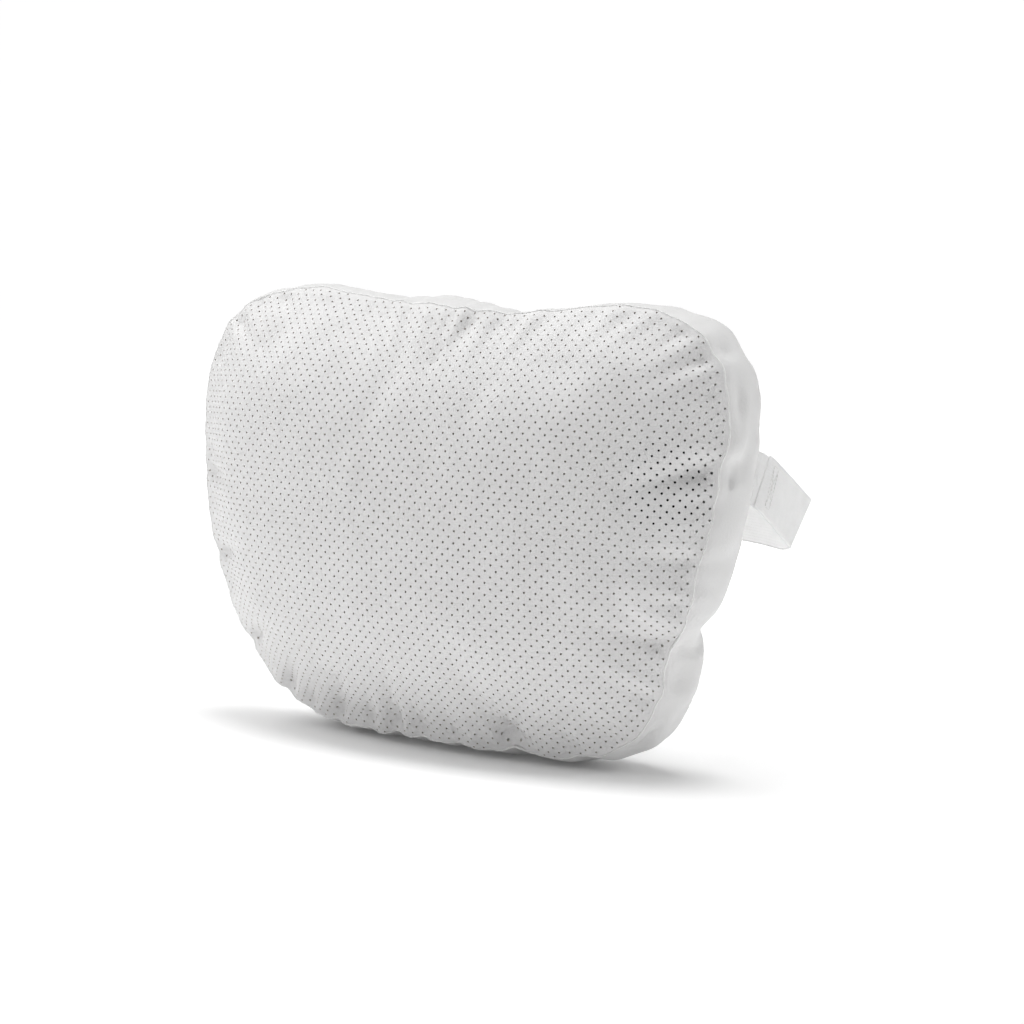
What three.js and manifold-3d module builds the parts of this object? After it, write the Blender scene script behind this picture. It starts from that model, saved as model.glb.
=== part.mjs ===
// Chair headrest attachment: a puffy head pillow with a perforated synthetic leather face, a smooth
// gusset round its edge, a zipped back and an elastic strap that goes round the back of a chair.
// Millimetres, +Z up. The pillow stands on its bottom edge: the origin is in the middle of that flat
// base, the perforated face looks to -Y and the strap hangs behind it, on the +Y side.

import * as THREE from 'three';
import { mergeVertices } from 'three/addons/utils/BufferGeometryUtils.js';
import Module from 'manifold-3d';

const wasm = await Module();
wasm.setup();

// ---------------------------------------------------------------- driving dimensions

const GAP = 0.3; // left between pieces that touch
const STATIONS = 48; // steps round the outline

// Right half of the seam outline as [x, z], from the dip in the top edge round to the bottom.
const HALF_OUTLINE = [
  [0, 241], [50, 243], [92, 247], [134, 240], [157, 216], [163, 184],
  [160, 144], [152, 100], [138, 60], [115, 26], [82, 7], [0, 3.5],
];
const CENTRE_HEIGHT = 125; // of the point that the panels swell from

const GUSSET = { depth: 38, bulge: 6.5, join: 72 };
const FRONT = { crown: 39, power: 2.5, round: 0.85 };
const BACK = { crown: 33, power: 4, round: 0.8, plateau: 20 };

// Depth of each layer's outer and inner face below the outside of the cover.
const LEATHER = { outer: 0, inner: 1.2 };
const LINING = { outer: 1.5, inner: 4 };
const LINER = { outer: 4.3, inner: 5 };
const FILL_DEPTH = 6;

const THREAD = { radius: 0.4, inFromSeam: 4.5, out: 0.5 };

// The zip lies along X on the flat of the back, at the height where the cover's pieces meet.
const ZIP = {
  chainFrom: -93, slotHalfLength: 101, slotHalfWidth: 3.6,
  tapeHalfLength: 102.5, tapeWidth: 8, tapeThick: 0.6, tapeApart: 0.9,
  pitch: 3, toothWidth: 1.1, toothReach: 1, spineFrom: 1.6, spineTo: 2.8, toothHeight: 1.4,
  stopLength: 2.7, stopHalfWidth: 3, stopProud: 0.8,
};
const SLIDER = { x: 91, length: 10, halfWidth: 4.6, plate: 1.2, clear: 0.4, wedgeAt: 1.5, wedge: [3, 1] };
const BRIDGE = { length: 8, leg: 1.2, width: 1.8, opening: 2.1, bar: 1 };
const PULL = { length: 27, width: 7, thick: 1, window: 7, bar: 1.2, arm: 1.5, hole: 1.4, holeAt: 22 };

// Elastic webbing, sewn on at the back seam on each side. It droops from those two ends.
const STRAP = { width: 30, thick: 2, droop: 23, axisY: 22, axisZ: 158, reach: 68, corner: 10 };
const STRAP_TAB = { x: 163.4, from: 1, to: 10, width: 24 };
const STRAP_LEG = { x: 165.8, from: 6, to: 56 };
const STRAP_TACK = { from: 7.5, to: 13.5, width: 22, thread: 1, thick: 0.5 };

// ---------------------------------------------------------------- materials

function material(color, roughness, metalness = 0) {
  return new THREE.MeshStandardMaterial({ color, roughness, metalness });
}

const MATERIALS = {
  perforatedLeather: material(0xe4e3e1, 0.55),
  smoothLeather: material(0xe9e8e6, 0.5),
  foam: material(0x9a938c, 0.95),
  linerCloth: material(0xf1f0ec, 0.9),
  fibre: material(0xf6f6f4, 1),
  webbing: material(0xe6e6e4, 0.85),
  tape: material(0xe2e1de, 0.9),
  coil: material(0xd9d8d5, 0.45),
  zipMetal: material(0xc4c6c8, 0.3, 1),
  thread: material(0xefeeea, 0.8),
};

// ---------------------------------------------------------------- the outline and its layers

const SEAM_Y = GUSSET.depth / 2;
const BACK_Y = SEAM_Y + BACK.plateau;

function seamStations() {
  const right = HALF_OUTLINE.map(([x, z]) => new THREE.Vector3(x, 0, z));
  const left = HALF_OUTLINE.slice(1, -1).reverse().map(([x, z]) => new THREE.Vector3(-x, 0, z));
  const loop = new THREE.CatmullRomCurve3([...right, ...left], true, 'centripetal');
  return loop.getSpacedPoints(STATIONS).slice(0, STATIONS).map((point) => {
    const radius = Math.hypot(point.x, point.z - CENTRE_HEIGHT);
    return { radius, toX: point.x / radius, toZ: (point.z - CENTRE_HEIGHT) / radius };
  });
}

const SEAM = seamStations();

// How far the gusset swells outwards at depth y.
function gussetBulge(y) {
  return GUSSET.bulge * (1 - Math.abs(y / SEAM_Y) ** 4);
}

function frontHeight(rho) {
  return FRONT.crown * (1 - rho ** FRONT.power) ** FRONT.round;
}

// The back swells like the front, but lies flat against the chair over most of its width.
function backHeight(rho) {
  return Math.min(BACK.plateau, BACK.crown * (1 - rho ** BACK.power) ** BACK.round);
}

// A profile point: share rho of the seam radius, out past it, y, and depth below the outside.
function crownProfile(side, height, rows, depth) {
  return rows.map((rho) => ({ rho, out: 0, depth, y: side * (SEAM_Y - depth + height(rho)) }));
}

function sideProfile(ys, depth) {
  return ys.map((y) => ({ rho: 1, out: gussetBulge(y), depth, y }));
}

function profilePoint(station, { rho, out, depth, y }) {
  const reach = rho * (station.radius - depth) + out;
  const z = CENTRE_HEIGHT + reach * station.toZ;
  return [reach * station.toX, y, Math.max(z, depth)];
}

// Sweeps a profile round the outline. A profile that starts and ends at rho 0 is closed there by a
// single point each; any other is joined end to end.
function loft(profile) {
  const hasPoles = profile[0].rho === 0;
  const rings = hasPoles ? profile.slice(1, -1) : [...profile, profile[0]];
  const positions = [];
  const ring = (point) => SEAM.map((station) => profilePoint(station, point));
  const triangle = (...corners) => corners.forEach((corner) => positions.push(...corner));
  const loops = rings.map(ring);
  for (let i = 0; i < STATIONS; i += 1) {
    const j = (i + 1) % STATIONS;
    for (let k = 0; k + 1 < loops.length; k += 1) {
      triangle(loops[k][i], loops[k + 1][i], loops[k + 1][j]);
      triangle(loops[k][i], loops[k + 1][j], loops[k][j]);
    }
    if (hasPoles) {
      const last = loops.length - 1;
      triangle(profilePoint(SEAM[i], profile[0]), loops[0][i], loops[0][j]);
      triangle(loops[last][i], profilePoint(SEAM[i], profile[profile.length - 1]), loops[last][j]);
    }
  }
  return facingOut(positions);
}

function signedVolume(positions) {
  let six = 0;
  for (let t = 0; t < positions.length; t += 9) {
    const [a, b, c] = [0, 3, 6].map((k) => new THREE.Vector3().fromArray(positions, t + k));
    six += a.dot(b.cross(c));
  }
  return six / 6;
}

function facingOut(positions) {
  const ordered = [...positions];
  if (signedVolume(positions) < 0) {
    for (let t = 0; t < ordered.length; t += 9) {
      const second = ordered.slice(t + 3, t + 6);
      ordered.splice(t + 3, 3, ...ordered.slice(t + 6, t + 9));
      ordered.splice(t + 6, 3, ...second);
    }
  }
  const geometry = new THREE.BufferGeometry();
  geometry.setAttribute('position', new THREE.Float32BufferAttribute(ordered, 3));
  return mergeVertices(geometry, 1e-4);
}

// ---------------------------------------------------------------- joining and cutting

function solid(geometry) {
  const bare = geometry.index ? geometry.toNonIndexed() : geometry.clone();
  bare.deleteAttribute('normal');
  bare.deleteAttribute('uv');
  const merged = mergeVertices(bare, 1e-4);
  const vertProperties = new Float32Array(merged.attributes.position.array);
  const triVerts = new Uint32Array(merged.index.array);
  return new wasm.Manifold(new wasm.Mesh({ numProp: 3, vertProperties, triVerts }));
}

function geometryOf(manifold) {
  const mesh = manifold.getMesh();
  const geometry = new THREE.BufferGeometry();
  geometry.setAttribute('position', new THREE.BufferAttribute(mesh.vertProperties, 3));
  geometry.setIndex(new THREE.BufferAttribute(mesh.triVerts, 1));
  return geometry;
}

function box([x0, x1], [y0, y1], [z0, z1]) {
  const geometry = new THREE.BoxGeometry(x1 - x0, y1 - y0, z1 - z0);
  return geometry.translate((x0 + x1) / 2, (y0 + y1) / 2, (z0 + z1) / 2);
}

function joined(boxes) {
  return geometryOf(boxes.map(solid).reduce((sum, next) => sum.add(next)));
}

// ---------------------------------------------------------------- the cover, lining and filling

const part = new THREE.Group();

function add(name, geometry, finish, parent = part) {
  const mesh = new THREE.Mesh(geometry, MATERIALS[finish]);
  mesh.name = name;
  parent.add(mesh);
  return mesh;
}

const FRONT_ROWS = [0, 0.35, 0.62, 0.82, 0.93, 0.985, 1];
const BACK_ROWS = [0, 0.82, 0.88, 0.94, 0.985, 1];
const SIDE_ROWS = [12, 6, GAP / 2];
const GUSSET_ROWS = [-17.4, -14, -8, 0, 8, 14, 17.4];

function panel(side, height, rows, layer) {
  const outside = crownProfile(side, height, rows, layer.outer);
  const inside = crownProfile(side, height, rows, layer.inner).reverse();
  return loft([...outside, ...inside]);
}

// The cover's upper and lower pieces meet at one height, where the zip runs across the back.
function cutAtJoin(whole) {
  const far = 400;
  const above = box([-far, far], [-far, far], [GUSSET.join + GAP / 2, far]);
  const below = box([-far, far], [-far, far], [-far, GUSSET.join - GAP / 2]);
  return [whole.intersect(solid(above)), whole.intersect(solid(below))];
}

function addInTwo(name, whole) {
  const [upper, lower] = cutAtJoin(whole);
  add(`${name}_upper`, geometryOf(upper), 'smoothLeather');
  add(`${name}_lower`, geometryOf(lower), 'smoothLeather');
}

function addCover() {
  add('face_panel', panel(-1, frontHeight, FRONT_ROWS, LEATHER), 'perforatedLeather');
  add('face_lining', panel(-1, frontHeight, FRONT_ROWS, LINING), 'foam');

  const outside = sideProfile(GUSSET_ROWS, LEATHER.outer);
  const inside = sideProfile(GUSSET_ROWS, LEATHER.inner).reverse();
  addInTwo('gusset', solid(loft([...outside, ...inside])));

  const slotX = [-ZIP.slotHalfLength, ZIP.slotHalfLength];
  const slotZ = [GUSSET.join - ZIP.slotHalfWidth, GUSSET.join + ZIP.slotHalfWidth];
  const slot = box(slotX, [SEAM_Y, BACK_Y + BACK.plateau], slotZ);
  addInTwo('back_panel', solid(panel(1, backHeight, BACK_ROWS, LEATHER)).subtract(solid(slot)));
}

// One half of the inner cushion's cloth: a panel that runs on round the side to the middle.
function linerHalf(side, height, rows) {
  const sideYs = SIDE_ROWS.map((y) => side * y);
  const skin = (depth) => [...crownProfile(side, height, rows, depth), ...sideProfile(sideYs, depth)];
  return loft([...skin(LINER.outer), ...skin(LINER.inner).reverse()]);
}

function addCushion() {
  add('liner_front', linerHalf(-1, frontHeight, FRONT_ROWS), 'linerCloth');
  add('liner_back', linerHalf(1, backHeight, BACK_ROWS), 'linerCloth');
  const front = crownProfile(-1, frontHeight, FRONT_ROWS, FILL_DEPTH);
  const back = crownProfile(1, backHeight, BACK_ROWS, FILL_DEPTH);
  add('fibre_fill', loft([...front, ...sideProfile([-12, 0, 12], FILL_DEPTH), ...back.reverse()]), 'fibre');
}

// The line of stitches inside a seam, as one closed thread of diamond section.
function seamThread(side) {
  const y = side * (SEAM_Y - THREAD.inFromSeam);
  const corners = [[1, 0], [0, 1], [-1, 0], [0, -1]];
  return loft(corners.map(([a, b]) => ({
    rho: 1, depth: 0, out: THREAD.out + a * THREAD.radius, y: y + b * THREAD.radius,
  })));
}

function addSeamThreads() {
  add('front_seam_thread', seamThread(-1), 'thread');
  add('back_seam_thread', seamThread(1), 'thread');
}

// ---------------------------------------------------------------- the zip

const TAPE_Y = [BACK_Y - LEATHER.inner - GAP - ZIP.tapeThick, BACK_Y - LEATHER.inner - GAP];
const COIL_Y = [BACK_Y - LEATHER.inner, BACK_Y - LEATHER.inner + ZIP.toothHeight];
const PLATE_Y = [COIL_Y[1] + SLIDER.clear, COIL_Y[1] + SLIDER.clear + SLIDER.plate];
const UNDER_Y = [TAPE_Y[0] - SLIDER.clear - SLIDER.plate, TAPE_Y[0] - SLIDER.clear];
const WEDGE_X = [SLIDER.x + SLIDER.wedgeAt, SLIDER.x + SLIDER.wedgeAt + SLIDER.wedge[0]];
const SLIDER_X = [SLIDER.x - SLIDER.length / 2, SLIDER.x + SLIDER.length / 2];

// Turns distances from the zip's line into heights, above the line for side 1 and below it for -1.
function fromLine(side, near, away) {
  return side > 0 ? [GUSSET.join + near, GUSSET.join + away] : [GUSSET.join - away, GUSSET.join - near];
}

function zipTape(side) {
  const z = fromLine(side, ZIP.tapeApart, ZIP.tapeApart + ZIP.tapeWidth);
  return box([-ZIP.tapeHalfLength, ZIP.tapeHalfLength], TAPE_Y, z);
}

// One side of the chain: a spine along the tape's edge, with teeth that reach between the other's.
function zipCoil(side) {
  const start = ZIP.chainFrom + (side > 0 ? 0 : ZIP.pitch / 2);
  const end = WEDGE_X[0] - GAP - ZIP.pitch;
  const comb = new THREE.Shape();
  comb.moveTo(start, ZIP.spineTo);
  comb.lineTo(start, ZIP.spineFrom);
  let x = start + ZIP.toothWidth;
  for (; x < end; x += ZIP.pitch) {
    comb.lineTo(x, ZIP.spineFrom);
    comb.lineTo(x, -ZIP.toothReach);
    comb.lineTo(x + ZIP.toothWidth, -ZIP.toothReach);
    comb.lineTo(x + ZIP.toothWidth, ZIP.spineFrom);
  }
  comb.lineTo(x, ZIP.spineFrom);
  comb.lineTo(x, ZIP.spineTo);
  const geometry = new THREE.ExtrudeGeometry(comb, { depth: ZIP.toothHeight, bevelEnabled: false });
  geometry.rotateX(side * Math.PI / 2);
  return geometry.translate(0, side > 0 ? COIL_Y[1] : COIL_Y[0], GUSSET.join);
}

function zipSlider() {
  const wide = fromLine(1, -SLIDER.halfWidth, SLIDER.halfWidth);
  const wedge = fromLine(1, -SLIDER.wedge[1] / 2, SLIDER.wedge[1] / 2);
  const narrow = fromLine(1, -BRIDGE.width / 2, BRIDGE.width / 2);
  const bridgeX = [SLIDER.x - BRIDGE.length / 2, SLIDER.x + BRIDGE.length / 2];
  const barY = [PLATE_Y[1] + BRIDGE.opening, PLATE_Y[1] + BRIDGE.opening + BRIDGE.bar];
  const legY = [PLATE_Y[0], barY[1]];
  return joined([
    box(SLIDER_X, PLATE_Y, wide),
    box(SLIDER_X, UNDER_Y, wide),
    box(WEDGE_X, [UNDER_Y[0], PLATE_Y[1]], wedge),
    box([bridgeX[0], bridgeX[0] + BRIDGE.leg], legY, narrow),
    box([bridgeX[1] - BRIDGE.leg, bridgeX[1]], legY, narrow),
    box(bridgeX, barY, narrow),
  ]);
}

// The pull lies back along the closed chain. Its end bar goes through the slider's bridge.
function zipPull() {
  const [halfBar, halfWidth] = [PULL.bar / 2, PULL.width / 2];
  const tipX = halfWidth - PULL.length;
  const outline = new THREE.Shape();
  outline.moveTo(halfBar, -halfWidth);
  outline.lineTo(halfBar, halfWidth);
  outline.lineTo(tipX, halfWidth);
  outline.absarc(tipX, 0, halfWidth, Math.PI / 2, 3 * Math.PI / 2);
  const window = new THREE.Path();
  window.moveTo(-halfBar, PULL.arm - halfWidth);
  window.lineTo(-halfBar, halfWidth - PULL.arm);
  window.lineTo(-halfBar - PULL.window, halfWidth - PULL.arm);
  window.lineTo(-halfBar - PULL.window, PULL.arm - halfWidth);
  const tipHole = new THREE.Path();
  tipHole.absarc(-PULL.holeAt, 0, PULL.hole, 0, 2 * Math.PI);
  outline.holes.push(window, tipHole);
  const settings = { depth: PULL.thick, bevelEnabled: false, curveSegments: 8 };
  const geometry = new THREE.ExtrudeGeometry(outline, settings);
  geometry.rotateX(Math.PI / 2);
  const pivotY = PLATE_Y[1] + BRIDGE.opening / 2;
  return geometry.translate(SLIDER.x, pivotY + PULL.thick / 2, GUSSET.join);
}

function addZip() {
  for (const [name, side] of [['upper', 1], ['lower', -1]]) {
    add(`zip_tape_${name}`, zipTape(side), 'tape');
    add(`zip_coil_${name}`, zipCoil(side), 'coil');
    const topStopX = [SLIDER_X[1] + 1.5, SLIDER_X[1] + 1.5 + ZIP.stopLength];
    const topStopZ = fromLine(side, ZIP.tapeApart, ZIP.stopHalfWidth);
    add(`zip_top_stop_${name}`, box(topStopX, COIL_Y, topStopZ), 'zipMetal');
  }
  const bottomStopX = [ZIP.chainFrom - GAP - ZIP.stopLength, ZIP.chainFrom - GAP];
  const bottomStopZ = fromLine(1, -ZIP.stopHalfWidth, ZIP.stopHalfWidth);
  const bottomStopY = [COIL_Y[0], COIL_Y[1] + ZIP.stopProud];
  add('zip_bottom_stop', box(bottomStopX, bottomStopY, bottomStopZ), 'zipMetal');
  add('zip_slider', zipSlider(), 'zipMetal');
  add('zip_pull', zipPull(), 'zipMetal');
}

// ---------------------------------------------------------------- the strap

// In the strap's own group, Y runs back from the sewn ends and Z across the webbing's width.
function webbing(side, x, from, to, width) {
  const nearX = side > 0 ? x : -x - STRAP.thick;
  return box([nearX, nearX + STRAP.thick], [from, to], [-width / 2, width / 2]);
}

// A box stitch: a rectangle of thread on the outer face of the leg, where it laps the sewn tab.
function boxStitch(side) {
  const near = STRAP_LEG.x + STRAP.thick + GAP;
  const x = side > 0 ? [near, near + STRAP_TACK.thick] : [-near - STRAP_TACK.thick, -near];
  const { from, to, width, thread } = STRAP_TACK;
  const outer = box(x, [from, to], [-width / 2, width / 2]);
  const inner = box([x[0] - 1, x[1] + 1], [from + thread, to - thread], [thread - width / 2, width / 2 - thread]);
  return geometryOf(solid(outer).subtract(solid(inner)));
}

// The band across the back, with a rounded corner at each end where it meets a leg.
function strapBow() {
  const near = STRAP_LEG.to + GAP;
  const { reach, corner, thick, width } = STRAP;
  const outerX = STRAP_LEG.x + thick;
  const cornerX = outerX - corner;
  const cornerY = reach - corner;
  const band = new THREE.Shape();
  band.moveTo(outerX, near);
  band.absarc(cornerX, cornerY, corner, 0, Math.PI / 2);
  band.absarc(-cornerX, cornerY, corner, Math.PI / 2, Math.PI);
  band.lineTo(-outerX, near);
  band.lineTo(-outerX + thick, near);
  band.absarc(-cornerX, cornerY, corner - thick, Math.PI, Math.PI / 2, true);
  band.absarc(cornerX, cornerY, corner - thick, Math.PI / 2, 0, true);
  band.lineTo(outerX - thick, near);
  const settings = { depth: width, bevelEnabled: false, curveSegments: 6 };
  return new THREE.ExtrudeGeometry(band, settings).translate(0, 0, -width / 2);
}

function addStrap() {
  const strap = new THREE.Group();
  strap.position.set(0, STRAP.axisY, STRAP.axisZ);
  strap.rotation.x = -THREE.MathUtils.degToRad(STRAP.droop);
  part.add(strap);
  for (const [name, side] of [['right', 1], ['left', -1]]) {
    const tab = webbing(side, STRAP_TAB.x, STRAP_TAB.from, STRAP_TAB.to, STRAP_TAB.width);
    const leg = webbing(side, STRAP_LEG.x, STRAP_LEG.from, STRAP_LEG.to, STRAP.width);
    add(`strap_tab_${name}`, tab, 'webbing', strap);
    add(`strap_leg_${name}`, leg, 'webbing', strap);
    add(`strap_stitch_${name}`, boxStitch(side), 'thread', strap);
  }
  add('strap_bow', strapBow(), 'webbing', strap);
}

addCover();
addCushion();
addSeamThreads();
addZip();
addStrap();

export default part;
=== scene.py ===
"""Looks of the chair headrest pillow: a perforated leather face, a smooth gusset and back, a zip
and an elastic strap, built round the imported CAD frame. Metres, in the frame's own axes."""

import math

import bmesh
import bpy
import numpy as np
from mathutils import Matrix, Vector
from mathutils.bvhtree import BVHTree


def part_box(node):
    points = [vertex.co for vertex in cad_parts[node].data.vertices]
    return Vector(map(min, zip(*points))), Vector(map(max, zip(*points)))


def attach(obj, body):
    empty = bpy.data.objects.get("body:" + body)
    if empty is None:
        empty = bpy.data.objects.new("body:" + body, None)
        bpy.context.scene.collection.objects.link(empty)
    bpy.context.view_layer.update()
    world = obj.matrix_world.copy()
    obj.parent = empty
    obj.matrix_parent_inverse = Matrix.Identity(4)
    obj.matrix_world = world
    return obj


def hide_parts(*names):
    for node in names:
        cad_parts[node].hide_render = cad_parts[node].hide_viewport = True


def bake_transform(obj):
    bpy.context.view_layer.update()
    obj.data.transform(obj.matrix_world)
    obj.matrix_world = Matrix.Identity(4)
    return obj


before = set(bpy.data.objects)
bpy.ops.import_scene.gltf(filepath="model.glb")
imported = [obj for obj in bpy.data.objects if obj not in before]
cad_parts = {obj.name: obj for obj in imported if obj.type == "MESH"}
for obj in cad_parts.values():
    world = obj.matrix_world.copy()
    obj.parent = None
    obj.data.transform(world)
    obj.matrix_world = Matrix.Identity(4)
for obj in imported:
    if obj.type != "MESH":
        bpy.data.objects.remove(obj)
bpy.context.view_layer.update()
MM = 0.001

# ---- the pillow's form

CENTRE_Z = 0.125  # height of the point that the panels swell from
SEAM_Y = 0.019  # half the gusset's depth
JOIN_Z = 0.072  # where the cover's upper and lower pieces meet
BULGE = 0.0065
FRONT_CROWN, FRONT_POWER, FRONT_ROUND = 0.039, 2.5, 0.85
BACK_CROWN, BACK_POWER, BACK_ROUND = 0.033, 4, 0.8
BACK_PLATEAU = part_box("back_panel_upper")[1].y - SEAM_Y
PLATEAU_EDGE = MM / 1.2  # how softly the plateau's edge is rounded
OUTLINE_WAVES = 14  # terms of the series that rounds the seam's outline
MEAN_RADIUS = 0.14  # of the seam, where a gather's width round it need not be exact
BACK_LEAN = 0.4  # share of the corners' lean that the back seam takes


def mesh_points(mesh):
    flat = np.zeros(len(mesh.vertices) * 3)
    mesh.vertices.foreach_get("co", flat)
    return flat.reshape(-1, 3)


def outline_terms(theta):
    order = np.arange(1, OUTLINE_WAVES + 1)
    turns = np.multiply.outer(np.asarray(theta, float), order)
    ones = np.ones(turns.shape[:-1] + (1,))
    return np.concatenate([ones, np.cos(turns), np.sin(turns)], axis=-1)


def fit_outline():
    """The seam's radius round the centre, as a series fitted to the rim of the CAD's face panel."""
    points = mesh_points(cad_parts["face_panel"].data)
    rim = points[np.abs(points[:, 1] + SEAM_Y) < 0.02 * MM]
    x, z = rim[:, 0], rim[:, 2] - CENTRE_Z
    return np.linalg.lstsq(outline_terms(np.arctan2(z, x)), np.hypot(x, z), rcond=None)[0]


OUTLINE = fit_outline()


def seam_radius(theta):
    return outline_terms(theta) @ OUTLINE


def unit(value):
    """value, or the nearest of 0 and 1 where it is past them."""
    return np.clip(value, 0, 1)


def bump(value, centre, width):
    """A smooth hill of height 1 at centre, for angles or distances."""
    return np.exp(-(((value - centre) / width) ** 2))


def turn_apart(theta, centre):
    """How far two angles are apart, from -pi to pi."""
    return (np.asarray(theta) - centre + math.pi) % (2 * math.pi) - math.pi


# Where a seam gathers: x and z on the seam, then the valley's half width, depth and length inwards.
FRONT_PINCHES = [
    (163, 168, 5, 4.0, 34), (162, 150, 4, 1.5, 22), (156, 118, 6, 3.0, 30),
    (149, 96, 5, 2.0, 24), (143, 70, 5, 4.5, 30), (128, 44, 6, 2.0, 26), (162, 206, 5, 2.6, 26),
    (152, 224, 4, 2.8, 22), (138, 236, 5, 2.2, 24), (110, 246, 6, 1.6, 22),
    (16, 241, 6, 1.6, 26), (-52, 243, 9, 1.6, 26), (-118, 244, 5, 2.4, 26),
    (-148, 228, 4, 3.4, 30), (-160, 206, 5, 2.4, 26), (-161, 141, 4, 5.0, 26),
    (-150, 93, 4, 5.0, 26), (-129, 44, 4, 5.0, 28), (-105, 19, 4, 4.4, 26),
    (-88, 9, 4, 3.6, 26), (-68, 6, 4, 5.2, 26), (-44, 4, 4, 5.2, 24), (-24, 4, 4, 5.4, 26),
    (-4, 4, 5, 4.6, 24), (18, 4, 5, 2.2, 22), (51, 4, 7, 7.5, 34), (84, 8, 6, 2.4, 26),
    (106, 18, 5, 2.6, 24),
]
BACK_PINCHES = [
    (163, 186, 5, 3.0, 30), (158, 132, 5, 2.6, 28), (146, 84, 5, 2.4, 24),
    (128, 42, 6, 3.0, 28), (96, 14, 6, 3.4, 28), (58, 5, 6, 2.8, 26), (20, 4, 5, 2.4, 24),
    (-22, 4, 6, 3.2, 28), (-60, 5, 5, 2.6, 26), (-98, 16, 6, 3.2, 28), (-130, 46, 5, 2.6, 26),
    (-148, 92, 6, 2.8, 28), (-158, 134, 5, 2.4, 26), (-163, 182, 5, 3.0, 30),
    (-150, 226, 5, 3.2, 28), (-108, 246, 6, 2.4, 26), (-40, 242, 7, 2.0, 28),
    (14, 241, 6, 2.4, 28), (74, 245, 6, 2.0, 26), (128, 241, 5, 2.8, 26),
    (154, 220, 5, 2.6, 26),
]
# Small waves along a seam: how many go round it, their phase and their height in mm.
RIPPLES = [(23, 0.4, 0.5), (37, 2.1, 0.4), (53, 4.0, 0.3), (71, 1.3, 0.22)]


def ripples(theta):
    turn = np.asarray(theta)
    return sum(size * MM * np.sin(count * turn + phase) for count, phase, size in RIPPLES)


def pinch_angle(x, z):
    return math.atan2(z - CENTRE_Z * 1000, x)


def seam_notch(theta):
    """How far each gather pulls the front seam itself inwards."""
    notch = np.zeros(np.shape(theta))
    for x, z, width, deep, _ in FRONT_PINCHES:
        off = turn_apart(theta, pinch_angle(x, z)) * MEAN_RADIUS
        notch = notch + 0.42 * deep * MM / (1 + (off / (1.3 * width * MM)) ** 2) ** 1.5
    return notch - ripples(theta) * 0.8


# Where the stuffing pushes the cover off its even outline: degrees round the centre, then mm
# outwards at the front seam and at the back seam, and mm that the front seam leans back.
LUMPS = [
    (-180, 2.2, 1, 0), (-150, 1.5, 0, 0), (-138, 0.5, 0, 0), (-120, -1.5, 3, 0),
    (-100, -2, 4, 0), (-80, -2, 4, 0), (-62, -1.5, 3, 0), (-54, 2, 3, 1), (-47, 5, 6, 3),
    (-40, 5, 9, 3), (-32, 3, 5, 2), (-25, -3, 1, 0), (-20.5, -1, -4, 0), (-17, -0.5, -13, 0),
    (-13, 0, -4, 0), (-6, 0, -1, 0), (0, 0, 0, 1), (20, 1, 0, 3), (25, 1, 1, 3),
    (29, 1, 1.5, 3), (33, 0, -1.5, 2), (37.5, 0, 1.5, 1), (41, 0, -1.5, 0), (46, -1, -4, 0),
    (54, -2, -7, 0), (62, -3.5, -8, 0), (74, -3.5, -7, 0), (84, -1, -2, 0), (96, 0, 3, 0),
    (108, 0, 0, 0), (122, 0, -3.5, 0), (136, 0, -3.5, 0), (150, 3.5, 2, 0), (163, 2.4, 1, 0),
    (180, 2.2, 1, 0),
]
LUMP_STEPS = 720  # round the whole turn, so one is half a degree
LUMP_REACH = 16  # steps to each side that are averaged


def lump_tables(blur=2.0):
    """The three columns of LUMPS at every half degree, rounded off by a running average."""
    rows = np.array(LUMPS, float)
    turns = np.linspace(-180, 180, LUMP_STEPS + 1)[:-1]
    window = np.exp(-((np.arange(-LUMP_REACH, LUMP_REACH + 1) / 2 / blur) ** 2))
    window /= window.sum()
    tables = []
    for column in (1, 2, 3):
        values = np.interp(turns, rows[:, 0], rows[:, column]) * MM
        wide = np.concatenate([values[-LUMP_REACH:], values, values[:LUMP_REACH]])
        tables.append(np.convolve(wide, window, "valid"))
    return tables


LUMP_TABLES = lump_tables()
FRONT_LUMP, BACK_LUMP, LEAN_LUMP = range(3)


def lump(theta, column):
    values = LUMP_TABLES[column]
    turn = (np.asarray(theta, float) + math.pi) % (2 * math.pi) / (2 * math.pi) * LUMP_STEPS
    low = np.floor(turn).astype(int) % LUMP_STEPS
    share = turn - np.floor(turn)
    return values[low] * (1 - share) + values[(low + 1) % LUMP_STEPS] * share


def corner_lean(theta):
    """The corners of the pillow lean back and the middles of its sides come forward."""
    return (2.0 - 5.0 * np.cos(4 * theta)) * MM + lump(theta, LEAN_LUMP)


def side_bulge(theta, v):
    """How far the gusset swells beyond its seams: most at the sides, less at the top and bottom."""
    return BULGE * (1 - v**4) * (0.3 + 0.7 * np.cos(theta) ** 2)


def front_height(rho):
    return FRONT_CROWN * unit(1 - rho**FRONT_POWER) ** FRONT_ROUND


def back_height(rho):
    """A dome that runs smoothly into the flat middle that holds the zip."""
    swell = BACK_CROWN * unit(1 - rho**BACK_POWER) ** BACK_ROUND
    return BACK_PLATEAU - np.logaddexp(0, (BACK_PLATEAU - swell) / PLATEAU_EDGE) * PLATEAU_EDGE


def plan(theta, reach):
    return reach * np.cos(theta), CENTRE_Z + reach * np.sin(theta)


def face_point(theta, rho):
    rim = lump(theta, FRONT_LUMP) * rho**3 - seam_notch(theta) * rho**8
    x, z = plan(theta, rho * seam_radius(theta) + rim)
    y = -(SEAM_Y + front_height(rho)) + corner_lean(theta) * rho**3
    return np.stack([x, y, z], axis=-1)


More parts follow.
